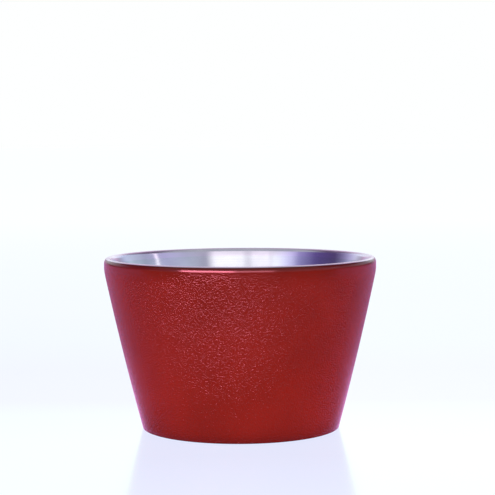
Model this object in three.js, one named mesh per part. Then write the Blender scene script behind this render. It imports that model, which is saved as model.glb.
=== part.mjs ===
// A small double-walled titanium sake cup: a tapered bowl with a rounded bare lip, a red lacquered
// outside and a flat foot. Millimetres, +Z up, origin at the centre of the plane the cup stands on.
import * as THREE from "three";

// Outside form
const cupHeight = 41.4;
const rimRadius = 32.8;
const rimFlare = 0.36;
const rimFlareHeight = 2.7;
const rimBandHeight = 0.8;
const footRadius = 23.76;
const wallBulge = 0.24;
const footCornerRadius = 0.5;

// Lip: two elliptic rounds that meet at its crest, and the inner side's slope down to the bowl
const lipOuterWidth = 0.95;
const lipOuterRise = 1.35;
const lipInnerWidth = 0.8;
const lipInnerRise = 1.4;
const lipInnerSlope = 0.25;

// Sheet and coat thicknesses
const coatThickness = 0.25;
const coatGap = 0.02;
const coatBottomZ = 0.15;
const coatEndAngle = (55 * Math.PI) / 180;
const coatEndGap = 0.03;
const outerSheet = 0.6;
const innerSheet = 0.5;
const baseSheet = 0.5;

// Inner bowl
const bowlFloorZ = 5.4;
const bowlCornerRadius = 4.6;
const vacuumGapAtFloor = 2.4;
const bowlBulge = 0.35;

// Lip weld bead, which closes the seam between the two shells and has its root down in it
const beadSeatRise = 0.2;
const beadRootDepth = 0.6;
const beadRootClearance = 0.03;

// Standing ring and base plate
const standingRingWidth = 2.6;
const ringBendFillet = 0.2;
const plateOverlap = 1.5;
const plateRecess = 0.8;
const plateStepWidth = 0.9;
const plateRimWidth = 0.9;
const dimpleRadius = 4.2;
const dimpleDepth = 0.6;
const dimpleSlopeWidth = 0.8;
const evacuationHoleRadius = 0.9;

// Weld bead between the standing ring and the base plate
const baseBeadWidth = 0.45;
const baseBeadHeight = 0.36;
const baseBeadClearance = 0.03;

// Seal of the evacuation hole
const sealRadius = 2.2;
const sealDrop = 0.55;
const sealStemClearance = 0.08;
const sealStemRise = 0.25;

// Getter and its holder, welded under the bowl floor inside the vacuum
const getterOffset = 9.0;
const getterRadius = 2.6;
const getterThickness = 0.9;
const getterFit = 0.12;
const holderSheet = 0.3;
const holderLipWidth = 0.8;

// Tessellation
const bodySegments = 64;
const smallSegments = 28;
const wallSteps = 6;
const cornerSteps = 4;
const lipSteps = 4;
const shoulderSteps = 3;
const beadSteps = 3;

const titanium = new THREE.MeshStandardMaterial({ color: 0xcfced2, roughness: 0.32, metalness: 1.0 });
const brightTitanium = new THREE.MeshStandardMaterial({ color: 0xd9d8dc, roughness: 0.22, metalness: 1.0 });
const weldTitanium = new THREE.MeshStandardMaterial({ color: 0xa9a6a8, roughness: 0.4, metalness: 1.0 });
const redLacquer = new THREE.MeshStandardMaterial({ color: 0x8e2a28, roughness: 0.36, metalness: 0.1 });
const solder = new THREE.MeshStandardMaterial({ color: 0x9a989b, roughness: 0.45, metalness: 0.9 });
const zirconium = new THREE.MeshStandardMaterial({ color: 0x5a585c, roughness: 0.7, metalness: 0.6 });

// Heights and radii that the sizes above lead to
const shellInset = coatThickness + coatGap;
const bandTopZ = cupHeight - lipOuterRise;
const bandBottomZ = bandTopZ - rimBandHeight;
const wallTopZ = bandBottomZ - rimFlareHeight;
const wallTopRadius = rimRadius - rimFlare;
const beadSeatZ = bandBottomZ + beadSeatRise;
const crestRadius = rimRadius - lipOuterWidth;

// Radius of the lacquered outside at height z, up to the top of the upright band.
function outsideRadius(z) {
  if (z > wallTopZ) {
    const share = Math.min(1, (z - wallTopZ) / rimFlareHeight);
    return wallTopRadius + rimFlare * share;
  }
  const t = z / wallTopZ;
  return footRadius + (wallTopRadius - footRadius) * t + 4 * wallBulge * t * (1 - t);
}

// Points of a quarter round from angle a0 to a1, in radians, about a centre.
function arc(centreR, centreZ, radiusR, radiusZ, a0, a1, steps) {
  const points = [];
  for (let i = 0; i <= steps; i++) {
    const a = a0 + ((a1 - a0) * i) / steps;
    points.push([centreR + radiusR * Math.cos(a), centreZ + radiusZ * Math.sin(a)]);
  }
  return points;
}

// Outside profile of the cup set in by a distance, from the foot up to a height on the upright band.
function outsideProfile(inset, bottomZ, topZ) {
  const points = [];
  const corner = footCornerRadius - inset;
  const cornerZ = corner;
  const cornerR = outsideRadius(cornerZ) - inset - corner;
  const lowest = Math.max(-1, (bottomZ - cornerZ) / corner);
  points.push(...arc(cornerR, cornerZ, corner, corner, Math.asin(lowest), 0, cornerSteps));
  for (let i = 1; i <= wallSteps; i++) {
    const z = cornerZ + ((wallTopZ - cornerZ) * i) / wallSteps;
    points.push([outsideRadius(z) - inset, z]);
  }
  points.push([rimRadius - inset, bandBottomZ]);
  points.push([rimRadius - inset, topZ]);
  return points;
}

// A closed profile of [radius, height] pairs turned round +Z, as a named mesh.
function turned(name, profile, material, segments = bodySegments) {
  const closes = profile[0][0] > 0 || profile[profile.length - 1][0] > 0;
  const outline = closes ? [...profile, profile[0]] : profile;
  const geometry = new THREE.LatheGeometry(
    outline.map(([r, z]) => new THREE.Vector2(r, z)),
    segments,
  );
  geometry.rotateX(Math.PI / 2);
  const mesh = new THREE.Mesh(geometry, material);
  mesh.name = name;
  return mesh;
}

const cup = new THREE.Group();
cup.name = "titanium_sake_cup";

// Outer shell: tapered wall with a turned-in standing ring, bare along its foot
const shellOuter = outsideProfile(shellInset, 0, beadSeatZ);
const shellTop = shellOuter[shellOuter.length - 1];
const standingRadius = shellOuter[0][0];
const ringInnerRadius = standingRadius - standingRingWidth;
const bendTopZ = outerSheet + ringBendFillet;
const wallInnerInset = shellInset + outerSheet;
const shellInner = shellOuter
  .filter(([, z]) => z > bendTopZ)
  .map(([r, z]) => [r - outerSheet, z])
  .reverse();
const outerShell = turned(
  "outer_shell",
  [
    [ringInnerRadius, 0],
    ...shellOuter,
    ...shellInner,
    [outsideRadius(bendTopZ) - wallInnerInset, bendTopZ],
    [outsideRadius(outerSheet) - wallInnerInset - ringBendFillet, outerSheet],
    [ringInnerRadius, outerSheet],
  ],
  titanium,
);
cup.add(outerShell);

// Lacquer coat: the red skin over the outer shell, from above the standing ring to the lip's shoulder
const coatOuter = [
  ...outsideProfile(0, coatBottomZ, bandTopZ),
  ...arc(crestRadius, bandTopZ, lipOuterWidth, lipOuterRise, 0, coatEndAngle, lipSteps).slice(1),
];
const coatInner = [
  ...outsideProfile(coatThickness, coatBottomZ, bandTopZ),
  ...arc(
    crestRadius,
    bandTopZ,
    lipOuterWidth - coatThickness,
    lipOuterRise - coatThickness,
    0,
    coatEndAngle,
    lipSteps,
  ).slice(1),
].reverse();
cup.add(turned("lacquer_coat", [...coatOuter, ...coatInner], redLacquer));

// Inner side of the lip: a round from the crest to the slope that runs on into the bowl
const lipTurn = Math.atan((lipInnerSlope * lipInnerRise) / lipInnerWidth);
const lipInside = arc(
  crestRadius,
  cupHeight - lipInnerRise,
  lipInnerWidth,
  lipInnerRise,
  Math.PI / 2,
  Math.PI - lipTurn,
  lipSteps,
);
const [slopeStartRadius, slopeStartZ] = lipInside[lipSteps];

// Inner shell: the drinking bowl, whose top end carries the lip bead beside the outer shell's
const bowlTopRadius = slopeStartRadius - (slopeStartZ - beadSeatZ) * lipInnerSlope;
const bowlFootRadius = outsideRadius(bowlFloorZ) - shellInset - outerSheet - vacuumGapAtFloor - innerSheet;
function bowlRadius(z) {
  const t = (z - bowlFloorZ) / (beadSeatZ - bowlFloorZ);
  return bowlFootRadius + (bowlTopRadius - bowlFootRadius) * t + 4 * bowlBulge * t * (1 - t);
}
const cornerCentreZ = bowlFloorZ + bowlCornerRadius;
const cornerCentreR = bowlRadius(cornerCentreZ) - bowlCornerRadius;
const bowlInside = [];
for (let i = wallSteps; i >= 1; i--) {
  const z = cornerCentreZ + ((beadSeatZ - cornerCentreZ) * i) / wallSteps;
  bowlInside.push([bowlRadius(z), z]);
}
bowlInside.push(
  ...arc(cornerCentreR, cornerCentreZ, bowlCornerRadius, bowlCornerRadius, 0, -Math.PI / 2, cornerSteps),
);
bowlInside.push([0, bowlFloorZ]);
const underFloorZ = bowlFloorZ - innerSheet;
const bowlOutside = [[0, underFloorZ]];
const outerCorner = bowlCornerRadius + innerSheet;
bowlOutside.push(
  ...arc(cornerCentreR, cornerCentreZ, outerCorner, outerCorner, -Math.PI / 2, 0, cornerSteps),
);
for (let i = 1; i <= wallSteps; i++) {
  const z = cornerCentreZ + ((beadSeatZ - cornerCentreZ) * i) / wallSteps;
  bowlOutside.push([bowlRadius(z) + innerSheet, z]);
}
const innerShell = turned("inner_shell", [...bowlOutside, ...bowlInside], titanium);
cup.add(innerShell);

// Lip weld bead: the rounded bare lip, seated on both shells' flat top ends, with its root between them.
// Its shoulder stands out to the lacquer's surface, so that the coat ends flush against it.
const rootInnerRadius = bowlTopRadius + innerSheet + beadRootClearance;
const rootBottomZ = beadSeatZ - beadRootDepth;
const rootOuterRadius = outsideRadius(rootBottomZ) - shellInset - outerSheet - beadRootClearance;
const shoulderAngle = coatEndAngle + coatEndGap / lipOuterRise;
cup.add(
  turned(
    "lip_weld_bead",
    [
      [bowlTopRadius, beadSeatZ],
      [rootInnerRadius, beadSeatZ],
      [rootInnerRadius, rootBottomZ],
      [rootOuterRadius, rootBottomZ],
      [rootOuterRadius, beadSeatZ],
      [rimRadius - shellInset, beadSeatZ],
      ...arc(
        crestRadius,
        bandTopZ,
        lipOuterWidth - shellInset,
        lipOuterRise - shellInset,
        0,
        shoulderAngle,
        lipSteps,
      ),
      ...arc(crestRadius, bandTopZ, lipOuterWidth, lipOuterRise, shoulderAngle, Math.PI / 2, shoulderSteps),
      ...lipInside.slice(1),
    ],
    brightTitanium,
  ),
);

// Base plate: dished closing plate that rests on the turned-in standing ring
const plateRadius = ringInnerRadius + plateOverlap;
const plateBottomZ = outerSheet;
const recessZ = plateBottomZ + plateRecess;
const dimpleZ = recessZ + dimpleDepth;
const plateStepRadius = ringInnerRadius - plateRimWidth;
const plateUnderside = [
  [evacuationHoleRadius, dimpleZ],
  [dimpleRadius - dimpleSlopeWidth, dimpleZ],
  [dimpleRadius, recessZ],
  [plateStepRadius - plateStepWidth, recessZ],
  [plateStepRadius, plateBottomZ],
  [plateRadius, plateBottomZ],
];
const plateTop = plateUnderside.map(([r, z]) => [r, z + baseSheet]).reverse();
cup.add(turned("base_plate", [...plateUnderside, ...plateTop], titanium));

// Base weld bead: a fillet under the plate along the inner edge of the standing ring
const baseBeadOuter = ringInnerRadius - baseBeadClearance;
cup.add(
  turned(
    "base_weld_bead",
    [
      ...arc(baseBeadOuter, plateBottomZ, baseBeadWidth, baseBeadHeight, Math.PI, 1.5 * Math.PI, beadSteps),
      [baseBeadOuter, plateBottomZ],
    ],
    weldTitanium,
  ),
);

// Vacuum seal: a solder button in the dimple, with a stem through the evacuation hole
const stemRadius = evacuationHoleRadius - sealStemClearance;
const stemTopZ = dimpleZ + baseSheet + sealStemRise;
cup.add(
  turned(
    "vacuum_seal",
    [
      ...arc(0, dimpleZ, sealRadius, sealDrop, -Math.PI / 2, 0, cornerSteps),
      [stemRadius, dimpleZ],
      [stemRadius, stemTopZ],
      [0, stemTopZ],
    ],
    solder,
    smallSegments,
  ),
);

// Getter and its holder: the holder hangs from the underside of the bowl floor
const getterGroup = new THREE.Group();
getterGroup.name = "getter_place";
getterGroup.position.set(getterOffset, 0, underFloorZ);
const holderInner = getterRadius + getterFit;
const holderOuter = holderInner + holderSheet;
const pelletTopZ = -holderSheet;
const pelletBottomZ = pelletTopZ - getterThickness;
getterGroup.add(
  turned(
    "getter_holder",
    [
      [0, pelletTopZ],
      [holderInner, pelletTopZ],
      [holderInner, pelletBottomZ],
      [getterRadius - holderLipWidth, pelletBottomZ],
      [getterRadius - holderLipWidth, pelletBottomZ - holderSheet],
      [holderOuter, pelletBottomZ - holderSheet],
      [holderOuter, 0],
      [0, 0],
    ],
    weldTitanium,
    smallSegments,
  ),
);
getterGroup.add(
  turned(
    "getter_pellet",
    [
      [0, pelletBottomZ],
      [getterRadius, pelletBottomZ],
      [getterRadius, pelletTopZ],
      [0, pelletTopZ],
    ],
    zirconium,
    smallSegments,
  ),
);
cup.add(getterGroup);

export default cup;
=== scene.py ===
"""A small double-walled titanium sake cup with a red lacquered outside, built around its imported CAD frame.

Every piece is turned from a profile in millimetres about the cup's own axis, +Z, with the foot on z = 0.
The profiles have the dimensions of the part's source, with finer rounds.
"""

import logging
import math
from dataclasses import dataclass
from enum import Enum

import bpy
from mathutils import Matrix, Vector


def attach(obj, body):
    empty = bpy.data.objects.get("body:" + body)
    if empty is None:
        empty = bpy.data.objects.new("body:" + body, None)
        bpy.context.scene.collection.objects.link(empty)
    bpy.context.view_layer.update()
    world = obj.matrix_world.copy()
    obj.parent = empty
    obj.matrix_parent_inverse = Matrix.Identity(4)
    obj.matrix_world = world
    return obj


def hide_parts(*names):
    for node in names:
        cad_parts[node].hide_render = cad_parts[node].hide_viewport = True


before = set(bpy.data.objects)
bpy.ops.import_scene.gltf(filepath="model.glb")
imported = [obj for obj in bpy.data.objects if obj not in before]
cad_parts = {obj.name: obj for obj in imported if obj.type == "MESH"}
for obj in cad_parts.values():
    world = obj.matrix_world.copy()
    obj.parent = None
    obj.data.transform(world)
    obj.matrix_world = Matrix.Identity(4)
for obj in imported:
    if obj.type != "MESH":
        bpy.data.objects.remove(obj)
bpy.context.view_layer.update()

BODY = "root"
MM = 0.001
IMAGE_SIDE_PX = 495
FULL_TURN = 2 * math.pi

# A profile starts as a tiny plane that is merged to one point and extruded from there.
SEED_SIDE_MM = 0.2
SAME_POINT_MM = 1e-4
WELD_DISTANCE = 0.0000005

# Edges that turn by more than this angle stay crisp.
SMOOTH_DEG = 38.0

# Most values of a noise lie between these two.
NOISE_SPREAD = (0.3, 0.7)

log = logging.getLogger("sake_cup")

# A colour is linear red, green, blue and alpha. Light is given so, because it can be brighter than white, and
# surfaces are given as sRGB hex colours.
Point = tuple[float, float]
Outline = list[Point]
Colour = tuple[float, float, float, float]
Stops = tuple[tuple[float, Colour], ...]
Tree = bpy.types.NodeTree
Node = bpy.types.Node
Socket = bpy.types.NodeSocket
Feed = Node | Socket
Inputs = dict[int | str, Feed | float | Colour] | tuple[Feed | float | Colour, ...]


class Turn(Enum):
    """How many steps a full turn of a profile takes."""

    BODY = 320
    BASE = 192
    SMALL = 96


def linear(hex_colour: str) -> Colour:
    """Turn an sRGB hex colour into linear values with full alpha.

    Args:
        hex_colour: Six hex digits with a leading hash sign.

    Returns:
        Red, green, blue and alpha, linear.
    """
    digits = hex_colour.lstrip("#")
    shares = [int(digits[i : i + 2], 16) / 255 for i in (0, 2, 4)]
    values = [s / 12.92 if s <= 0.04045 else ((s + 0.055) / 1.055) ** 2.4 for s in shares]
    return (values[0], values[1], values[2], 1.0)


def metres(span_mm: Point) -> Point:
    """Turn a pair of values in mm into metres."""
    return (span_mm[0] * MM, span_mm[1] * MM)


def tones(dark: str, light: str) -> Stops:
    """Give the stops that colour a noise with two hex colours, from its low values to its high ones."""
    return ((NOISE_SPREAD[0], linear(dark)), (NOISE_SPREAD[1], linear(light)))


def arc(centre: Point, radii: Point, start_deg: float, end_deg: float, steps: int) -> Outline:
    """Give points along part of an ellipse.

    Args:
        centre: Radius and height of its centre, in mm.
        radii: Half widths along the radius and the height, in mm.
        start_deg: Angle of the first point; 0 points outwards and 90 up.
        end_deg: Angle of the last point.
        steps: Number of steps between the two.

    Returns:
        The points, with both ends.
    """
    points = []
    for i in range(steps + 1):
        angle = math.radians(start_deg + (end_deg - start_deg) * i / steps)
        points.append((centre[0] + radii[0] * math.cos(angle), centre[1] + radii[1] * math.sin(angle)))
    return points


def ease(start: Point, end: Point, steps: int) -> Outline:
    """Give a soft S between two points, as a pressed step in sheet has.

    Args:
        start: First point, in mm.
        end: Last point, in mm.
        steps: Number of steps.

    Returns:
        The points, with both ends.
    """
    points = []
    for i in range(steps + 1):
        t = i / steps
        eased = t * t * (3 - 2 * t)
        points.append((start[0] + (end[0] - start[0]) * t, start[1] + (end[1] - start[1]) * eased))
    return points


def cleaned(outline: Outline) -> Outline:
    """Drop each point that lies on the one before it.

    Args:
        outline: Points in mm.

    Returns:
        The outline without repeats.
    """
    kept: Outline = []
    for point in outline:
        if not kept or math.dist(kept[-1], point) > SAME_POINT_MM:
            kept.append(point)
    return kept


def turned(name: str, outline: Outline, turn: Turn, closed: bool) -> bpy.types.Object:
    """Draw a profile point by point and spin it once round the cup's axis.

    Args:
        name: Name of the piece.
        outline: Radius and height pairs in mm.
        turn: How finely the turn is divided.
        closed: True where the profile closes on itself, and False where both ends are on the axis.

    Returns:
        The new piece, at the origin.
    """
    points = cleaned(outline)
    if closed:
        points = [*points, points[0]]
    bpy.ops.object.select_all(action="DESELECT")
    bpy.ops.mesh.primitive_plane_add(size=SEED_SIDE_MM * MM, location=(0, 0, 0))
    piece = bpy.context.active_object
    piece.name = name
    piece.data.name = name
    bpy.ops.object.mode_set(mode="EDIT")
    bpy.ops.mesh.select_mode(type="VERT")
    bpy.ops.mesh.select_all(action="SELECT")
    bpy.ops.mesh.merge(type="CENTER")
    first = points[0]
    bpy.ops.transform.translate(value=(first[0] * MM, 0, first[1] * MM))
    for before, after in zip(points, points[1:]):
        step = ((after[0] - before[0]) * MM, 0, (after[1] - before[1]) * MM)
        bpy.ops.mesh.extrude_region_move(TRANSFORM_OT_translate={"value": step})
    bpy.ops.mesh.select_all(action="SELECT")
    bpy.ops.mesh.remove_doubles(threshold=WELD_DISTANCE)
    bpy.ops.mesh.spin(steps=turn.value, angle=FULL_TURN, center=(0, 0, 0), axis=(0, 0, 1))
    bpy.ops.mesh.select_all(action="SELECT")
    bpy.ops.mesh.remove_doubles(threshold=WELD_DISTANCE)
    bpy.ops.mesh.normals_make_consistent(inside=False)
    bpy.ops.object.mode_set(mode="OBJECT")
    bpy.ops.object.shade_smooth_by_angle(angle=math.radians(SMOOTH_DEG))
    return piece


def add_node(tree: Tree, kind: str, inputs: Inputs = (), stops: Stops = (), **settings: str | int) -> Node:
    """Add one shader node, set it up and link what feeds it.

    Args:
        tree: The node tree it goes into.
        kind: Blender's name of the node's class, without the words that all of them start with.
        inputs: What its inputs get, in their order or by name or number. Each is a plain value, a socket, or
            a node whose first output is meant.
        stops: A colour ramp's places from 0 to 1, each with a linear colour.
        **settings: Properties of the node itself.

    Returns:
        The new node.
    """
    node = tree.nodes.new(f"ShaderNode{kind}")
    for key, value in settings.items():
        setattr(node, key, value)
    by_key = inputs if isinstance(inputs, dict) else dict(enumerate(inputs))
    for key, value in by_key.items():
        source = value.outputs[0] if isinstance(value, Node) else value
        if isinstance(source, Socket):
            tree.links.new(source, node.inputs[key])
        else:
            node.inputs[key].default_value = source
    if stops:
        elements = node.color_ramp.elements
        while len(elements) < len(stops):
            elements.new(0.5)
        for element, (place, colour) in zip(elements, stops):
            element.position = place
            element.color = colour
    return node


@dataclass(frozen=True)
class Finish:
    """What every finish has: a name and a way to start its material."""

    name: str

    def start(self) -> tuple[bpy.types.Material, Tree, Node, Socket]:
        """Make an empty material with one Principled shader.

        Returns:
            The material, its tree, the shader and the place on the piece.
        """
        material = bpy.data.materials.new(self.name)
        material.use_nodes = True
        tree = material.node_tree
        tree.nodes.clear()
        shader = add_node(tree, "BsdfPrincipled")
        add_node(tree, "OutputMaterial", {"Surface": shader})
        return material, tree, shader, add_node(tree, "TexCoord").outputs["Object"]


@dataclass(frozen=True)
class RedLacquer(Finish):
    """Red lacquer, sprayed and baked over blasted titanium.

    The metal's grain shows through it. It is weaker at the foot, and it fades under the lip, where the
    lacquer pools. Heights are in mm over the foot.
    """

    # To the eye it is a deep even red under a glossy skin, which breaks up into small glints over the grain.
    name: str = "red_lacquer_grained"
    deep: str = "#881A11"
    bright: str = "#941D13"
    # The darker pooled red under the lip is partly deeper lacquer where it pools and partly painted shade on
    # the lip's upward-facing round.
    pooled_and_shaded: str = "#7E1A15"
    body_roughness: float = 0.5
    gloss: float = 0.13
    ior: float = 1.4
    mottle_mm: float = 14.0
    mottle_detail: float = 3.0
    mottle_roughness: float = 0.55
    # A real blasted grain is about a tenth of a millimetre, so it is drawn as coarse as it needs to show.
    grain_mm: float = 0.35
    grain_detail: float = 1.5
    grain_spread: Point = (0.36, 0.66)
    grain_height_mm: float = 0.09
    body_height_mm: float = 0.03
    foot_grain: float = 0.4
    full_grain_z_mm: float = 28.0
    grain_fades_z_mm: Point = (36.4, 40.2)
    grain_in_pool: float = 0.02
    # Heights over which the red turns to the darker pooled one, which is partly painted shade.
    pool_shade_z_mm: Point = (39.9, 40.7)

    def build(self) -> bpy.types.Material:
        """Mix the lacquer.

        Returns:
            The finished material.
        """
        material, tree, shader, place = self.start()
        height = add_node(tree, "SeparateXYZ", (place,)).outputs["Z"]
        clouds = {"Scale": 1 / (self.mottle_mm * MM), "Detail": self.mottle_detail}
        mottle = add_node(tree, "TexNoise", {"Vector": place, "Roughness": self.mottle_roughness, **clouds})
        red = add_node(tree, "ValToRGB", (mottle,), stops=tones(self.deep, self.bright))
        # Painted shade in part: towards the lip's top the red turns to the darker pooled one.
        pool_and_shade = add_node(tree, "MapRange", (height, *metres(self.pool_shade_z_mm), 0.0, 1.0))
        colour = add_node(tree, "Mix", {0: pool_and_shade, 6: red, 7: linear(self.pooled_and_shaded)}, data_type="RGBA").outputs[2]
        specks = {"Scale": 1 / (self.grain_mm * MM), "Detail": self.grain_detail}
        speckle = add_node(tree, "TexNoise", {"Vector": place, **specks})
        spread = (speckle, *self.grain_spread, 0.0, 1.0)
        grain = add_node(tree, "MapRange", spread, interpolation_type="SMOOTHSTEP")
        rise = add_node(tree, "MapRange", (height, 0.0, self.full_grain_z_mm * MM, self.foot_grain, 1.0))
        filled = add_node(tree, "MapRange", (height, *metres(self.grain_fades_z_mm), 1.0, self.grain_in_pool))
        strength = add_node(tree, "Math", (rise, filled), operation="MULTIPLY")
        relief = {"Strength": strength, "Height": grain}
        body = add_node(tree, "Bump", {**relief, "Distance": self.body_height_mm * MM})
        skin = add_node(tree, "Bump", {**relief, "Distance": self.grain_height_mm * MM})
        tree.links.new(colour, shader.inputs["Base Color"])
        tree.links.new(body.outputs["Normal"], shader.inputs["Normal"])
        tree.links.new(skin.outputs["Normal"], shader.inputs["Coat Normal"])
        shader.inputs["Roughness"].default_value = self.body_roughness
        shader.inputs["Specular IOR Level"].default_value = 0.0
        shader.inputs["Coat Weight"].default_value = 1.0
        shader.inputs["Coat Roughness"].default_value = self.gloss
        shader.inputs["Coat IOR"].default_value = self.ior
        return material


@dataclass(frozen=True)
class Titanium(Finish):
    """Bare commercially pure titanium, pressed to its form and finished on a lathe."""

    # To the eye it is a warm grey satin: fine lines run round the axis and soften what it mirrors, and soft
    # clouds in its tone keep it from looking like chrome.
    name: str = "titanium_satin"
    light: str = "#DDDBE0"
    dark: str = "#CFCCD2"
    roughness: Point = (0.1, 0.15)
    # Real turning lines are a few hundredths of a millimetre apart, so they are drawn as coarse as they need
    # to show.
    line_mm: float = 0.25
    line_detail: float = 2.0
    line_height_mm: float = 0.002
    cloud_mm: float = 6.0
    cloud_detail: float = 3.0
    glossy_within_mm: Point | None = None
    roughness_within: float = 0.11

    def build(self) -> bpy.types.Material:
        """Finish the metal.

        Returns:
            The finished material.
        """
        material, tree, shader, place = self.start()
        split = add_node(tree, "SeparateXYZ", (place,))
        flat = add_node(tree, "CombineXYZ", (split.outputs["X"], split.outputs["Y"]))
        radius = add_node(tree, "VectorMath", (flat,), operation="LENGTH").outputs["Value"]
        rings = add_node(tree, "CombineXYZ", {"X": radius, "Z": split.outputs["Z"]})
        fine = {"Scale": 1 / (self.line_mm * MM), "Detail": self.line_detail}
        lines = add_node(tree, "TexNoise", {"Vector": rings, **fine})
        soft = {"Scale": 1 / (self.cloud_mm * MM), "Detail": self.cloud_detail}
        clouds = add_node(tree, "TexNoise", {"Vector": place, **soft})
        colour = add_node(tree, "ValToRGB", (clouds,), stops=tones(self.dark, self.light))
        roughness = add_node(tree, "MapRange", (lines, *NOISE_SPREAD, *self.roughness))
        if self.glossy_within_mm is not None:
            radii = metres(self.glossy_within_mm)
            roughness = add_node(tree, "MapRange", (radius, *radii, self.roughness_within, roughness))
        relief = {"Height": lines, "Distance": self.line_height_mm * MM, "Strength": 1.0}
        bump = add_node(tree, "Bump", relief)
        tree.links.new(colour.outputs["Color"], shader.inputs["Base Color"])
        tree.links.new(roughness.outputs["Result"], shader.inputs["Roughness"])
        tree.links.new(bump.outputs["Normal"], shader.inputs["Normal"])
        shader.inputs["Metallic"].default_value = 1.0
        return material


@dataclass(frozen=True)
class CastMetal(Finish):
    """Weld, solder or sintered metal, which has set from a melt or a powder and isn't worked after."""

    # To the eye it is dull, clouded and a little uneven, with no direction in it.
    name: str = "solder_dull"
    light: str = "#9C9A9C"
    dark: str = "#77757A"
    roughness: float = 0.45
    # Solder sets in clouds of about this size. A weld's ripples are wider, and a sintered grain, which is
    # finer than a tenth of a millimetre, is drawn as coarse as it needs to show.
    grain_mm: float = 0.35
    grain_detail: float = 4.0
    height_mm: float = 0.03

    def build(self) -> bpy.types.Material:
        """Finish the metal.

        Returns:
            The finished material.
        """
        material, tree, shader, place = self.start()
        specks = {"Scale": 1 / (self.grain_mm * MM), "Detail": self.grain_detail}
        grain = add_node(tree, "TexNoise", {"Vector": place, **specks})
        colour = add_node(tree, "ValToRGB", (grain,), stops=tones(self.dark, self.light))
        relief = {"Height": grain, "Distance": self.height_mm * MM, "Strength": 1.0}
        bump = add_node(tree, "Bump", relief)
        tree.links.new(colour.outputs["Color"], shader.inputs["Base Color"])
        tree.links.new(bump.outputs["Normal"], shader.inputs["Normal"])
        shader.inputs["Roughness"].default_value = self.roughness
        shader.inputs["Metallic"].default_value = 1.0
        return material


def dress(piece: bpy.types.Object, material: bpy.types.Material) -> None:
    """Give a piece one material all over."""
    piece.data.materials.clear()
    piece.data.materials.append(material)


def seat(piece: bpy.types.Object, slot: str, *nodes: str) -> None:
    """Tie a piece to the frame's body and hide the CAD nodes it stands for.

    Args:
        piece: The finished piece.
        slot: Name of the piece's material slot. It is not used.
        *nodes: The CAD nodes.
    """
    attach(piece, BODY)
    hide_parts(*nodes)
    log.info("%s: %d faces, for %s", piece.name, len(piece.data.polygons), ", ".join(nodes))


@dataclass(frozen=True)
class CupForm:
    """The outside form that every piece of the cup follows, in mm."""

    height: float = 41.4
    rim_radius: float = 32.8
    foot_radius: float = 23.76
    wall_bulge: float = 0.24
    foot_corner: float = 0.5
    lip_flare: float = 0.36
    lip_flare_height: float = 2.7
    band_height: float = 0.8
    lip_out: float = 0.95
    lip_out_rise: float = 1.35
    lip_in: float = 0.8
    lip_in_rise: float = 1.4
    lip_slope: float = 0.25
    lip_steps: int = 14
    seat_above_band: float = 0.2
    coat_end_deg: float = 55.0
    coat: float = 0.25
    coat_gap: float = 0.02
    sheet: float = 0.6
    bowl_sheet: float = 0.5
    wall_steps: int = 26

    @property
    def band_top_z(self) -> float:
        """Height where the lip's outer round starts."""
        return self.height - self.lip_out_rise

    @property
    def band_bottom_z(self) -> float:
        """Height where the upright band under the lip starts."""
        return self.band_top_z - self.band_height

    @property
    def wall_top_z(self) -> float:
        """Height where the tapered wall ends."""
        return self.band_bottom_z - self.lip_flare_height

    @property
    def wall_top_radius(self) -> float:
        """Outside radius where the tapered wall ends."""
        return self.rim_radius - self.lip_flare

    @property
    def crest_radius(self) -> float:
        """Radius of the lip's highest line."""
        return self.rim_radius - self.lip_out

    @property
    def lip_centre(self) -> Point:
        """Centre of the lip's outer round."""
        return (self.crest_radius, self.band_top_z)

    @property
    def seat_z(self) -> float:
        """Height of the shells' flat top ends, on which the lip's bead sits."""
        return self.band_bottom_z + self.seat_above_band

    @property
    def shell_inset(self) -> float:
        """How far the outer shell lies inside the lacquered surface."""
        return self.coat + self.coat_gap

    def lip_inside(self) -> Outline:
        """Give the lip's inner side.

        Returns:
            Points from its crest down to the seat.
        """
        turn_in = math.atan(self.lip_slope * self.lip_in_rise / self.lip_in)
        centre = (self.crest_radius, self.height - self.lip_in_rise)
        end_deg = 180 - math.degrees(turn_in)
        points = arc(centre, (self.lip_in, self.lip_in_rise), 90, end_deg, self.lip_steps)
        last = points[-1]
        return [*points, (last[0] - (last[1] - self.seat_z) * self.lip_slope, self.seat_z)]

    def outside(self, z: float) -> float:
        """Give the radius of the lacquered outside at a height.

        The tapered wall is slightly crowned, and a softened curve carries it out to the band under the lip.

        Args:
            z: Height over the foot, in mm.

        Returns:
            The radius in mm.
        """
        taper = self.wall_top_radius - self.foot_radius
        if z > self.wall_top_z:
            share = min(1.0, (z - self.wall_top_z) / self.lip_flare_height)
            start = (taper - 4 * self.wall_bulge) / self.wall_top_z * self.lip_flare_height
            softened = start * share * (1 - share) ** 2 + self.lip_flare * share * share * (3 - 2 * share)
            return self.wall_top_radius + softened
        t = z / self.wall_top_z
        return self.foot_radius + taper * t + 4 * self.wall_bulge * t * (1 - t)

    def wall(self, inset: float, low_z: float, high_z: float) -> Outline:
        """Give the tapered wall's outline between two heights.

        Args:
            inset: How far inside the lacquered surface it lies, in mm.
            low_z: Its lowest height.
            high_z: Its highest height.

        Returns:
            Points from the lowest to the highest.
        """
        points = []
        for i in range(self.wall_steps + 1):
            z = low_z + (high_z - low_z) * i / self.wall_steps
            points.append((self.outside(z) - inset, z))
        return points


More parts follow.
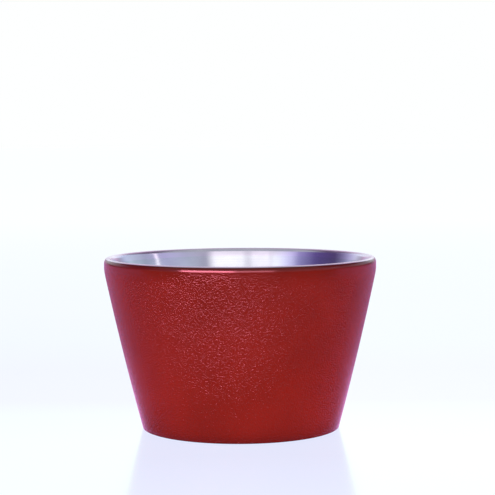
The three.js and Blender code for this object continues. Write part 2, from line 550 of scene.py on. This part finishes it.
@dataclass(frozen=True)
class LacquerCoat:
    """The red coat: a thin skin from the foot's corner over the outer shoulder of the lip."""

    form: CupForm
    bottom_z: float = 0.15
    corner_steps: int = 10
    shoulder_steps: int = 18
    # Only every third point is kept along the flare and along the coat's inner side.
    thinning: int = 3

    def build(self) -> bpy.types.Object:
        """Make, dress and seat the coat.

        Returns:
            The coat, which the softboxes are linked to.
        """
        form = self.form
        corner = form.foot_corner
        foot_centre = (form.outside(corner) - corner, corner)
        lowest = math.degrees(math.asin((self.bottom_z - corner) / corner))
        end = form.coat_end_deg
        inner_corner = corner - form.coat
        inner_lip = (form.lip_out - form.coat, form.lip_out_rise - form.coat)
        outer = arc(foot_centre, (corner, corner), lowest, 0, self.corner_steps)
        outer += form.wall(0, corner, form.wall_top_z)[1:]
        outer += form.wall(0, form.wall_top_z, form.band_bottom_z)[1 :: self.thinning]
        outer += arc(form.lip_centre, (form.lip_out, form.lip_out_rise), 0, end, self.shoulder_steps)
        inner = arc(form.lip_centre, inner_lip, end, 0, self.shoulder_steps)
        inner += list(reversed(form.wall(form.coat, corner, form.band_bottom_z)))[:: self.thinning]
        inner += arc(foot_centre, (inner_corner, inner_corner), 0, lowest, self.corner_steps // 2)
        piece = turned("lacquer_coat_red", outer + inner, Turn.BODY, closed=True)
        dress(piece, RedLacquer().build())
        seat(piece, "red_lacquer", "lacquer_coat")
        return piece


@dataclass(frozen=True)
class Lip:
    """The bare rounded lip: the bead that joins the two shells, with its root in their seam."""

    form: CupForm
    root_depth: float = 0.6
    root_clearance: float = 0.03
    coat_clearance: float = 0.03
    # How far inside the crest the bowl's gloss ends: all of it beyond the first, and none before the second.
    bright_inside: Point = (0.75, 0.5)
    steps: int = 14

    def finish(self) -> Titanium:
        """Choose the lip's finish.

        Returns:
            Titanium that is duller than the bowl's, apart from the inner side, which is as glossy.
        """
        crest = self.form.crest_radius
        return Titanium(
            "titanium_polished",
            light="#E6DAE6",
            dark="#DACEDC",
            roughness=(0.26, 0.34),
            line_mm=0.3,
            line_height_mm=0.001,
            glossy_within_mm=(crest - self.bright_inside[0], crest - self.bright_inside[1]),
        )

    def build(self) -> None:
        """Make, dress and seat the lip."""
        form = self.form
        inset = form.shell_inset
        inner_radii = (form.lip_out - inset, form.lip_out_rise - inset)
        shoulder = form.coat_end_deg + math.degrees(self.coat_clearance / form.lip_out_rise)
        inside = form.lip_inside()
        root_z = form.seat_z - self.root_depth
        root_in = inside[-1][0] + form.bowl_sheet + self.root_clearance
        root_out = form.outside(root_z) - inset - form.sheet - self.root_clearance
        outline = [inside[-1], (root_in, form.seat_z), (root_in, root_z), (root_out, root_z)]
        outline += [(root_out, form.seat_z), (form.rim_radius - inset, form.seat_z)]
        outline += arc(form.lip_centre, inner_radii, 0, shoulder, self.steps)
        outline += arc(form.lip_centre, (form.lip_out, form.lip_out_rise), shoulder, 90, self.steps)
        outline += inside[1:-1]
        piece = turned("lip_bare_metal", outline, Turn.BODY, closed=True)
        dress(piece, self.finish().build())
        seat(piece, "polished_titanium", "lip_weld_bead")


@dataclass(frozen=True)
class Bowl:
    """The inner shell: a conical bowl with a rounded corner and a flat floor."""

    form: CupForm
    floor_z: float = 5.4
    corner: float = 4.6
    bulge: float = 0.35
    gap: float = 2.4
    wall_steps: int = 24
    corner_steps: int = 12
    floor_steps: int = 10

    def inside(self, z: float) -> float:
        """Give the bowl's radius at a height.

        Args:
            z: Height over the foot, in mm.

        Returns:
            The radius in mm.
        """
        form = self.form
        foot = form.outside(self.floor_z) - form.shell_inset - form.sheet - self.gap - form.bowl_sheet
        top = form.lip_inside()[-1][0]
        t = (z - self.floor_z) / (form.seat_z - self.floor_z)
        return foot + (top - foot) * t + 4 * self.bulge * t * (1 - t)

    def build(self) -> None:
        """Make, dress and seat the bowl."""
        sheet = self.form.bowl_sheet
        corner_z = self.floor_z + self.corner
        top_z = self.form.seat_z
        centre = (self.inside(corner_z) - self.corner, corner_z)
        outer_corner = self.corner + sheet
        outline = []
        for i in range(self.wall_steps + 1):
            z = top_z + (corner_z - top_z) * i / self.wall_steps
            outline.append((self.inside(z), z))
        outline += arc(centre, (self.corner, self.corner), 0, -90, self.corner_steps)[1:]
        for i in range(1, self.floor_steps + 1):
            outline.append((centre[0] * (1 - i / self.floor_steps), self.floor_z))
        for i in range(self.floor_steps):
            outline.append((centre[0] * i / self.floor_steps, self.floor_z - sheet))
        outline += arc(centre, (outer_corner, outer_corner), -90, 0, self.corner_steps)
        for i in range(1, self.wall_steps + 1):
            z = corner_z + (top_z - corner_z) * i / self.wall_steps
            outline.append((self.inside(z) + sheet, z))
        piece = turned("bowl_inner_shell", outline, Turn.BODY, closed=True)
        dress(piece, Titanium().build())
        seat(piece, "bare_titanium", "inner_shell")


@dataclass(frozen=True)
class FootShell:
    """The outer shell: the wall under the coat and the bare standing ring it turns in to."""

    form: CupForm
    ring_width: float = 2.6
    ring_edge: float = 0.15
    edge_steps: int = 5
    corner_steps: int = 10
    inside_corner_out: float = 0.1
    inside_corner_up: float = 0.5

    def build(self) -> None:
        """Make, dress and seat the outer shell."""
        form = self.form
        inset = form.shell_inset
        edge = self.ring_edge
        corner = form.foot_corner - inset
        centre = (form.outside(corner) - inset - corner, corner)
        ring_inner = centre[0] - self.ring_width
        inner_wall = form.wall(inset + form.sheet, form.sheet + self.inside_corner_up, form.seat_z)
        outline = [(ring_inner, form.sheet - edge)]
        outline += arc((ring_inner + edge, edge), (edge, edge), 180, 270, self.edge_steps)
        outline += arc(centre, (corner, corner), -90, 0, self.corner_steps)
        outline += form.wall(inset, corner, form.seat_z)[1:]
        outline += list(reversed(inner_wall))
        outline += [(centre[0] + self.inside_corner_out, form.sheet), (ring_inner, form.sheet)]
        piece = turned("outer_shell_wall", outline, Turn.BODY, closed=True)
        dress(piece, Titanium("titanium_foot").build())
        seat(piece, "bare_titanium", "outer_shell")


@dataclass(frozen=True)
class Base:
    """The underside: the dished closing plate, the weld round it and the seal of its evacuation hole."""

    ring_inner: float = 20.55
    overlap: float = 1.5
    plate_z: float = 0.6
    sheet: float = 0.5
    recess: float = 0.8
    recess_inset: float = 0.9
    recess_slope: float = 1.0
    dimple_radius: float = 4.2
    dimple_depth: float = 0.6
    dimple_slope: Point = (0.9, 0.1)
    slope_steps: int = 8
    hole_radius: float = 0.9
    bead_width: float = 0.45
    bead_drop: float = 0.36
    bead_clearance: float = 0.03
    bead_steps: int = 7
    seal_radius: float = 2.2
    seal_drop: float = 0.55
    seal_steps: int = 12
    stem_clearance: float = 0.08
    stem_rise: float = 0.25
    stem_chamfer: float = 0.1

    @property
    def recess_z(self) -> float:
        """Height of the plate's raised middle, on its underside."""
        return self.plate_z + self.recess

    @property
    def dimple_z(self) -> float:
        """Height of the dimple that holds the seal, on the plate's underside."""
        return self.recess_z + self.dimple_depth

    def build(self) -> None:
        """Make, dress and seat the three pieces of the underside."""
        self.build_plate()
        self.build_bead()
        self.build_seal()

    def build_plate(self) -> None:
        """Make the dished plate with its rounded step and dimple."""
        step = self.ring_inner - self.recess_inset
        dimple_in = (self.dimple_radius - self.dimple_slope[0], self.dimple_z)
        dimple_out = (self.dimple_radius + self.dimple_slope[1], self.recess_z)
        under: Outline = [(self.hole_radius, self.dimple_z)]
        under += ease(dimple_in, dimple_out, self.slope_steps)
        under += ease((step - self.recess_slope, self.recess_z), (step, self.plate_z), self.slope_steps)
        under += [(self.ring_inner + self.overlap, self.plate_z)]
        over = [(r, z + self.sheet) for r, z in reversed(under)]
        piece = turned("base_plate_dished", under + over, Turn.BASE, closed=True)
        dress(piece, Titanium("titanium_base", roughness=(0.2, 0.3)).build())
        seat(piece, "bare_titanium", "base_plate")

    def build_bead(self) -> None:
        """Make the weld bead along the standing ring's inner edge."""
        outer = (self.ring_inner - self.bead_clearance, self.plate_z)
        outline = [outer, *arc(outer, (self.bead_width, self.bead_drop), 180, 270, self.bead_steps)]
        finish = CastMetal(
            "titanium_weld",
            light="#B9B4B0",
            dark="#8E8A92",
            roughness=0.3,
            grain_mm=0.6,
            height_mm=0.02,
        )
        piece = turned("base_weld_ring", outline, Turn.BASE, closed=True)
        dress(piece, finish.build())
        seat(piece, "weld_titanium", "base_weld_bead")

    def build_seal(self) -> None:
        """Make the solder button with its stem through the evacuation hole."""
        stem = self.hole_radius - self.stem_clearance
        top = self.dimple_z + self.sheet + self.stem_rise
        outline = arc((0, self.dimple_z), (self.seal_radius, self.seal_drop), -90, 0, self.seal_steps)
        outline += [(stem, self.dimple_z), (stem, top - self.stem_chamfer), (stem - self.stem_chamfer, top)]
        outline += [(0, top)]
        piece = turned("seal_button", outline, Turn.SMALL, closed=False)
        dress(piece, CastMetal().build())
        seat(piece, "seal_solder", "vacuum_seal")


def dress_hidden_nodes() -> None:
    """Give the two pieces that stay inside the vacuum their own finishes."""
    holder = CastMetal(
        "titanium_clip",
        light="#B5B3B8",
        dark="#97959B",
        roughness=0.35,
        grain_mm=0.8,
        height_mm=0.01,
    )
    pellet = CastMetal(
        "getter_sintered",
        light="#6A686C",
        dark="#3F3E42",
        roughness=0.75,
        grain_mm=0.2,
        height_mm=0.04,
    )
    for node, finish in (("getter_holder", holder), ("getter_pellet", pellet)):
        dress(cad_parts[node], finish.build())
        log.info("%s: CAD node kept", node)


@dataclass(frozen=True)
class PhotoCamera:
    """The camera, as fitted to the rim, the lip and the foot in the photograph."""

    distance_mm: float = 388.7
    height_mm: float = 69.2
    lens_mm: float = 117.2
    sensor_mm: float = 36.0
    pitch_deg: float = 3.77
    roll_deg: float = -0.346
    axis_px: float = 239.94

    def build(self) -> None:
        """Place the camera where the photograph was taken from."""
        data = bpy.data.cameras.new("photo_camera")
        data.lens = self.lens_mm
        data.sensor_width = self.sensor_mm
        data.shift_x = (IMAGE_SIDE_PX / 2 - self.axis_px) / IMAGE_SIDE_PX
        camera = bpy.data.objects.new("photo_camera", data)
        bpy.context.scene.collection.objects.link(camera)
        camera.location = (0, -self.distance_mm * MM, self.height_mm * MM)
        camera.rotation_mode = "QUATERNION"
        nod = Matrix.Rotation(math.radians(90 - self.pitch_deg), 3, "X")
        lean = Matrix.Rotation(math.radians(self.roll_deg), 3, "Z")
        camera.rotation_quaternion = (nod @ lean).to_quaternion()
        bpy.context.scene.camera = camera


# The table's tone to the camera, by its distance behind the cup's axis in mm. Its darker lavender band from
# about
# 15 to 170 mm is painted faint shade beside the cup. It ends as white as the backdrop, so that no horizon
# shows.
TABLE_TONES_AND_SHADE: Stops = (
    (-20, (0.98, 1.0, 1.0, 1)),
    (15, (0.955, 0.95, 1.0, 1)),
    (40, (0.92, 0.875, 0.98, 1)),
    (100, (0.922, 0.89, 0.98, 1)),
    (170, (0.95, 0.95, 1.0, 1)),
    (271, (0.985, 0.99, 1.0, 1)),
    (420, (1.01, 1.03, 1.0, 1)),
    (637, (1.04, 1.06, 1.0, 1)),
    (1000, (1.1, 1.1, 1.0, 1)),
)


@dataclass(frozen=True)
class Table:
    """The pale laminated table: near white to the camera, a soft light to the cup, and darker in its gloss.

    It is open under the cup and from below, so that the underside is lit and can be looked at.
    """

    side: float = 40.0
    open_radius_mm: float = 20.0
    # To the camera. The mirror's share grows with the Fresnel value, and so does the skimmed colour's below.
    colour: str = "#E9E8F2"
    dullness: float = 0.6
    glow: Colour = (1.1, 1.18, 1.45, 1.0)
    glow_share: float = 0.85
    mirror_tint: str = "#FFFFAA"
    mirror_ior: float = 1.2
    mirror_fresnel: Point = (0.15, 0.25)
    mirror_shares: Point = (0.09, 0.22)
    mirror_roughness: float = 0.14
    # In the gloss of metal and lacquer.
    laminate_ior: float = 1.45
    steep_in_gloss: str = "#352C42"
    skimmed_in_gloss: str = "#DF9FE2"
    skim_fresnel: Point = (0.15, 0.31)
    skim_y_mm: Point = (-70.0, -20.0)
    gloss_falls_mm: Point = (28.0, 120.0)
    gloss_shares: Point = (1.95, 0.85)
    # To the cup's dull surfaces.
    light: Colour = (1.72, 1.68, 1.7, 1.0)
    light_falls_mm: Point = (30.0, 120.0)
    light_far_share: float = 0.72
    light_sides_mm: Point = (-40.0, 40.0)
    light_sides: Point = (1.04, 0.97)
    contact_mm: float = 6.0
    contact_samples: int = 8

    def build(self) -> None:
        """Lay the table, which keeps the cup's contact shadow and mirror image."""
        bpy.ops.object.select_all(action="DESELECT")
        bpy.ops.mesh.primitive_plane_add(size=self.side, location=(0, 0, 0))
        floor = bpy.context.active_object
        floor.name = "table_top"
        dress(floor, self.laminate())

    def laminate(self) -> bpy.types.Material:
        """Make the table's material, with one look for each kind of ray.

        Returns:
            The finished material.
        """
        material = bpy.data.materials.new("table_white_laminate")
        material.use_nodes = True
        tree = material.node_tree
        tree.nodes.clear()
        place = add_node(tree, "TexCoord").outputs["Object"]
        split = add_node(tree, "SeparateXYZ", (place,))
        from_axis = add_node(tree, "VectorMath", (place,), operation="LENGTH").outputs["Value"]
        seen = self.to_camera(tree, split.outputs["Y"])
        mirrored = self.to_gloss(tree, split.outputs["Y"], from_axis)
        lighting = self.to_cup(tree, split.outputs["X"], from_axis)
        path = add_node(tree, "LightPath")
        unseen = add_node(tree, "MixShader", (path.outputs["Is Glossy Ray"], lighting, mirrored))
        upper = add_node(tree, "MixShader", (path.outputs["Is Camera Ray"], unseen, seen))
        below = add_node(tree, "NewGeometry").outputs["Backfacing"]
        under_cup = add_node(tree, "Math", (from_axis, self.open_radius_mm * MM), operation="LESS_THAN")
        opened = add_node(tree, "Math", (below, under_cup), operation="MAXIMUM")
        clear = add_node(tree, "BsdfTransparent")
        whole = add_node(tree, "MixShader", (opened, upper, clear))
        add_node(tree, "OutputMaterial", {"Surface": whole})
        material.cycles.emission_sampling = "NONE"
        return material

    def to_camera(self, tree: Tree, depth: Feed) -> Node:
        """Give what the camera sees: near white, with a weak blurred mirror image of the cup.

        Args:
            tree: The material's node tree.
            depth: Distance behind the cup's axis, in metres.

        Returns:
            The shader.
        """
        paint = {"Base Color": linear(self.colour), "Roughness": self.dullness, "Specular IOR Level": 0.0}
        lit = add_node(tree, "BsdfPrincipled", paint)
        # The tone's darker band behind the cup's axis is painted faint shade.
        nearest, farthest = TABLE_TONES_AND_SHADE[0][0], TABLE_TONES_AND_SHADE[-1][0]
        share = add_node(tree, "MapRange", (depth, *metres((nearest, farthest)), 0.0, 1.0))
        stops = tuple(((y - nearest) / (farthest - nearest), colour) for y, colour in TABLE_TONES_AND_SHADE)
        tone = add_node(tree, "ValToRGB", (share,), stops=stops)
        parts = {0: 1.0, 6: self.glow, 7: tone}
        toned = add_node(tree, "Mix", parts, data_type="RGBA", blend_type="MULTIPLY").outputs[2]
        glow = add_node(tree, "Emission", (toned, 1.0))
        matte = add_node(tree, "MixShader", (self.glow_share, lit, glow))
        fresnel = add_node(tree, "Fresnel", (self.mirror_ior,))
        gloss = add_node(tree, "MapRange", (fresnel, *self.mirror_fresnel, *self.mirror_shares))
        blurred = {"Color": linear(self.mirror_tint), "Roughness": self.mirror_roughness}
        mirror = add_node(tree, "BsdfGlossy", blurred)
        return add_node(tree, "MixShader", (gloss, matte, mirror))

    def to_gloss(self, tree: Tree, depth: Feed, from_axis: Feed) -> Node:
        """Give what metal and lacquer mirror: dark from above, and lavender where it is skimmed farther back.

        Args:
            tree: The material's node tree.
            depth: Distance behind the cup's axis, in metres.
            from_axis: Distance from the cup's foot, in metres.

        Returns:
            The shader.
        """
        fresnel = add_node(tree, "Fresnel", (self.laminate_ior,))
        low = add_node(tree, "MapRange", (fresnel, *self.skim_fresnel, 0.0, 1.0))
        behind = add_node(tree, "MapRange", (depth, *metres(self.skim_y_mm), 0.0, 1.0))
        skimmed = add_node(tree, "Math", (low, behind), operation="MULTIPLY")
        parts = {0: skimmed, 6: linear(self.steep_in_gloss), 7: linear(self.skimmed_in_gloss)}
        colour = add_node(tree, "Mix", parts, data_type="RGBA").outputs[2]
        near = add_node(tree, "MapRange", (from_axis, *metres(self.gloss_falls_mm), *self.gloss_shares))
        return add_node(tree, "Emission", (colour, near))

    def to_cup(self, tree: Tree, across: Feed, from_axis: Feed) -> Node:
        """Give the light that the table sends up at the cup, less where the cup stands on it.

        Args:
            tree: The material's node tree.
            across: Distance to the right of the cup's axis, in metres.
            from_axis: Distance from the cup's foot, in metres.

        Returns:
            The shader.
        """
        reach = {"Distance": self.contact_mm * MM}
        contact = add_node(tree, "AmbientOcclusion", reach, samples=self.contact_samples)
        falls = metres(self.light_falls_mm)
        spread = add_node(tree, "MapRange", (from_axis, *falls, 1.0, self.light_far_share))
        aside = add_node(tree, "MapRange", (across, *metres(self.light_sides_mm), *self.light_sides))
        even = add_node(tree, "Math", (spread, aside), operation="MULTIPLY")
        strength = add_node(tree, "Math", (even, contact.outputs["AO"]), operation="MULTIPLY")
        return add_node(tree, "Emission", (self.light, strength))


@dataclass(frozen=True)
class Panel:
    """A bright reflector that only the glossy surfaces show.

    Angles are degrees seen from the cup, and the lean is in degrees of azimuth for one degree of elevation.
    """

    azimuth: float
    half_width: float
    colour: Colour
    side_blur: float = 4.0
    low: float = 11.0
    high: float = 25.0
    edge_blur: float = 4.0
    lean: float = 0.0

    def add_to(self, tree: Tree, around: Feed, azimuth: Feed, height: Feed) -> Feed:
        """Lay the panel over the surroundings.

        Args:
            tree: The world's node tree.
            around: The surroundings' colour so far.
            azimuth: Direction round the cup, in degrees from the camera's side.
            height: Sine of the elevation.

        Returns:
            The colour with the panel in it.
        """
        middle = math.sin(math.radians((self.low + self.high) / 2))
        slope = math.degrees(self.lean)
        line = (height, slope, self.azimuth - slope * middle)
        leaned = add_node(tree, "Math", line, operation="MULTIPLY_ADD")
        aside = add_node(tree, "Math", (azimuth, leaned), operation="SUBTRACT")
        off = add_node(tree, "Math", (aside,), operation="ABSOLUTE")
        sides = (self.half_width - self.side_blur, self.half_width + self.side_blur)
        across = add_node(tree, "MapRange", (off, *sides, 1.0, 0.0))
        over = add_node(tree, "MapRange", (height, *self.sines(self.low), 0.0, 1.0))
        below = add_node(tree, "MapRange", (height, *self.sines(self.high), 1.0, 0.0))
        upright = add_node(tree, "Math", (over, below), operation="MULTIPLY")
        share = add_node(tree, "Math", (across, upright), operation="MULTIPLY")
        return add_node(tree, "Mix", {0: share, 6: around, 7: self.colour}, data_type="RGBA").outputs[2]

    def sines(self, edge: float) -> Point:
        """Give the sines between which the edge at an elevation in degrees fades."""
        return (math.sin(math.radians(edge - self.edge_blur)), math.sin(math.radians(edge + self.edge_blur)))


# The low ring of light and dark sectors that the bowl's wall mirrors, by azimuth in degrees: 0 is the
# camera's side and 90 the cup's right.
RING_SECTORS: Stops = (
    (-180, (1.3, 1.45, 1.5, 1)),
    (-162, (1.15, 1.28, 1.35, 1)),
    (-142, (1.15, 1.3, 1.45, 1)),
    (-122, (0.57, 0.57, 0.88, 1)),
    (-111, (0.27, 0.25, 0.46, 1)),
    (-101, (0.11, 0.08, 0.22, 1)),
    (-77, (0.15, 0.11, 0.36, 1)),
    (-59, (0.4, 0.37, 0.76, 1)),
    (-50, (0.98, 0.97, 1.46, 1)),
    (-42, (1.36, 1.4, 1.75, 1)),
    (-34, (1.62, 1.7, 1.85, 1)),
    (-28, (0.6, 0.6, 0.8, 1)),
    (28, (0.6, 0.6, 0.8, 1)),
    (37, (0.57, 0.59, 0.76, 1)),
    (50, (0.63, 0.7, 0.89, 1)),
    (77, (0.66, 0.69, 1.0, 1)),
    (101, (0.5, 0.58, 0.75, 1)),
    (122, (0.72, 0.88, 1.05, 1)),
    (138, (0.74, 0.9, 1.16, 1)),
    (150, (1.2, 1.35, 1.5, 1)),
    (165, (1.45, 1.6, 1.62, 1)),
    (180, (1.45, 1.6, 1.62, 1)),
)


@dataclass(frozen=True)
class Surroundings:
    """What stands round the table: white to the camera, and a dim ceiling to dull surfaces.

    Glossy surfaces show a dome, a low ring of sectors and three panels. Ranges are parts of the direction's
    unit vector: height upwards, depth to the back and side to the left or right.
    """

    sky: str = "#FEFFFF"
    strength: float = 0.9
    ring_starts: Point = (0.08, 0.16)
    ring_ends: Point = (0.37, 0.45)
    dome_front: Colour = (0.53, 0.6, 0.64, 1)
    dome_back: Colour = (0.82, 0.62, 0.84, 1)
    dome_depth: Point = (0.25, 0.55)
    shade: Colour = (0.16, 0.11, 0.2, 1)
    shade_side: Point = (0.45, 0.65)
    shade_depth: Point = (-0.2, 0.05)
    ceiling: Stops = ((0.0, (0.4, 0.4, 0.4, 1)), (0.6, (0.08, 0.08, 0.08, 1)))
    panels: tuple[Panel, ...] = (
        Panel(azimuth=11.5, half_width=17.6, colour=(1.86, 1.9, 1.95, 1)),
        Panel(azimuth=-20, half_width=11, colour=(1.8, 1.8, 1.9, 1)),
        Panel(
            azimuth=88,
            half_width=1.5,
            colour=(2.1, 2.05, 2.2, 1),
            side_blur=1.5,
            high=26,
            edge_blur=2,
            lean=1,
        ),
    )

    def build(self) -> None:
        """Colour the world."""
        world = bpy.data.worlds.new("studio")
        bpy.context.scene.world = world
        world.use_nodes = True
        tree = world.node_tree
        tree.nodes.clear()
        way = add_node(tree, "TexCoord").outputs["Generated"]
        split = add_node(tree, "SeparateXYZ", (way,))
        side, depth, height = split.outputs["X"], split.outputs["Y"], split.outputs["Z"]
        bright = self.mirrored(tree, side, depth, height)
        dim = add_node(tree, "ValToRGB", (height,), stops=self.ceiling)
        path = add_node(tree, "LightPath")
        parts = {0: path.outputs["Is Diffuse Ray"], 6: bright, 7: dim}
        lighting = add_node(tree, "Mix", parts, data_type="RGBA").outputs[2]
        around = add_node(tree, "Background", (lighting, self.strength))
        seen = add_node(tree, "Background", (linear(self.sky), 1.0))
        whole = add_node(tree, "MixShader", (path.outputs["Is Camera Ray"], around, seen))
        add_node(tree, "OutputWorld", {"Surface": whole})
        world.cycles.sampling_method = "NONE"

    def mirrored(self, tree: Tree, side: Feed, depth: Feed, height: Feed) -> Feed:
        """Give what glossy surfaces mirror: the dome with its shaded sides, the ring over it, and the panels.

        Args:
            tree: The world's node tree.
            side: Part of the direction to the right.
            depth: Part of the direction to the back.
            height: Part of the direction upwards.

        Returns:
            The colour.
        """
        behind = add_node(tree, "MapRange", (depth, *self.dome_depth, 0.0, 1.0))
        parts = {0: behind, 6: self.dome_front, 7: self.dome_back}
        dome = add_node(tree, "Mix", parts, data_type="RGBA").outputs[2]
        off = add_node(tree, "Math", (side,), operation="ABSOLUTE")
        aside = add_node(tree, "MapRange", (off, *self.shade_side, 0.0, 1.0))
        farther = add_node(tree, "MapRange", (depth, *self.shade_depth, 0.0, 1.0))
        in_shade = add_node(tree, "Math", (aside, farther), operation="MULTIPLY")
        shaded = add_node(tree, "Mix", {0: in_shade, 6: dome, 7: self.shade}, data_type="RGBA").outputs[2]
        forward = add_node(tree, "Math", (depth, -1.0), operation="MULTIPLY")
        azimuth = add_node(tree, "Math", (side, forward), operation="ARCTAN2")
        share = add_node(tree, "MapRange", (azimuth, -math.pi, math.pi, 0.0, 1.0))
        stops = tuple(((angle + 180) / 360, colour) for angle, colour in RING_SECTORS)
        ring = add_node(tree, "ValToRGB", (share,), stops=stops)
        over = add_node(tree, "MapRange", (height, *self.ring_starts, 0.0, 1.0))
        under = add_node(tree, "MapRange", (height, *self.ring_ends, 1.0, 0.0))
        in_ring = add_node(tree, "Math", (over, under), operation="MULTIPLY")
        colour = add_node(tree, "Mix", {0: in_ring, 6: shaded, 7: ring}, data_type="RGBA").outputs[2]
        degrees = add_node(tree, "Math", (azimuth, 180 / math.pi), operation="MULTIPLY")
        for panel in self.panels:
            colour = panel.add_to(tree, colour, degrees, height)
        return colour


@dataclass(frozen=True)
class Softbox:
    """A lamp that faces the cup and is seen in gloss only.

    Angles are degrees from the camera's side, positive to the right, and over the table. Sizes are in metres,
    and a radiance of 1 is white. Its light is reddish, as the glints in the lacquer's grain are.
    """

    name: str
    azimuth: float
    width: float
    radiance: float
    height: float = 0.24
    elevation: float = 14.5
    distance: float = 0.6
    aim_z: float = 0.03
    colour: tuple[float, float, float] = (1.0, 0.25, 0.37)

    def build(self, lit: bpy.types.Collection) -> None:
        """Hang the softbox.

        Args:
            lit: The pieces that it lights.
        """
        data = bpy.data.lights.new(self.name, "AREA")
        data.shape = "RECTANGLE"
        data.size, data.size_y = self.width, self.height
        data.energy = math.pi * self.width * self.height * self.radiance
        data.color = self.colour
        lamp = bpy.data.objects.new(self.name, data)
        bpy.context.scene.collection.objects.link(lamp)
        around = math.radians(self.azimuth)
        up = math.radians(self.elevation)
        out = Vector((math.sin(around) * math.cos(up), -math.cos(around) * math.cos(up), math.sin(up)))
        lamp.location = out * self.distance + Vector((0, 0, self.aim_z))
        lamp.rotation_mode = "QUATERNION"
        lamp.rotation_quaternion = out.to_track_quat("Z", "Y")
        lamp.visible_diffuse = False
        lamp.light_linking.receiver_collection = lit


@dataclass(frozen=True)
class Studio:
    """Everything that isn't part of the cup: the camera, the table, the surroundings and two softboxes."""

    camera: PhotoCamera = PhotoCamera()
    table: Table = Table()
    surroundings: Surroundings = Surroundings()
    softboxes: tuple[Softbox, ...] = (
        Softbox("key_lamp", azimuth=-27, width=0.47, radiance=32.0),
        Softbox("side_lamp", azimuth=11, width=0.35, radiance=8.5),
    )

    def build(self, coat: bpy.types.Object) -> None:
        """Set up the studio.

        Args:
            coat: The lacquer coat, which alone shows the softboxes; the bare metal keeps its own tint.
        """
        self.camera.build()
        self.table.build()
        self.surroundings.build()
        lit = bpy.data.collections.new("lit_by_softboxes")
        lit.objects.link(coat)
        for softbox in self.softboxes:
            softbox.build(lit)
        bpy.context.scene.view_settings.view_transform = "Standard"


def main() -> None:
    """Build the cup piece by piece, then the studio round it."""
    logging.basicConfig(level=logging.INFO, format="%(name)s: %(message)s")
    form = CupForm()
    FootShell(form).build()
    coat = LacquerCoat(form).build()
    Bowl(form).build()
    Lip(form).build()
    Base().build()
    dress_hidden_nodes()
    Studio().build(coat)


if __name__ == "__main__":
    main()
